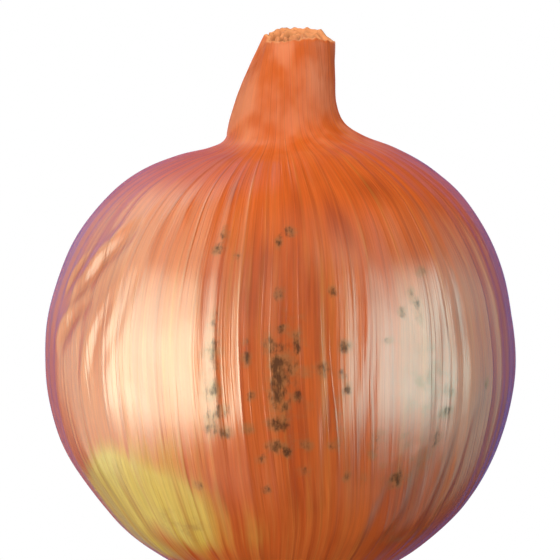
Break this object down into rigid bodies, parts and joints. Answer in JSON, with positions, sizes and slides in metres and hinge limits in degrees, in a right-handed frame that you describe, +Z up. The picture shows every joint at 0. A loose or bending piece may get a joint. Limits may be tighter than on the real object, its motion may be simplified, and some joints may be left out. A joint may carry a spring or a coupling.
{
  "type": "onion",
  "caption": "Dry globe onion with veined papery skin, a short cut neck leaning to one side, and a root plate with trimmed roots that it stands on.",
  "frame": {"origin": "middle of the small flat spot of the root plate that the onion stands on", "axes": "+Z up from the root plate to the neck; -Y towards the viewer of the picture; +X to the viewer's right, the side the neck leans to"},
  "size_m": [0.08, 0.08, 0.096],
  "materials": {
    "dry_skin": "dry papery onion skin, orange brown with fine vertical veins, satin gloss, dark mould specks and one pale green patch",
    "dry_root": "dry fibrous roots and woody root plate, matt straw brown"
  },
  "bodies": {
    "root": {"bulb": "dry_skin", "root_tuft": "dry_root"}
  },
  "joints": []
}
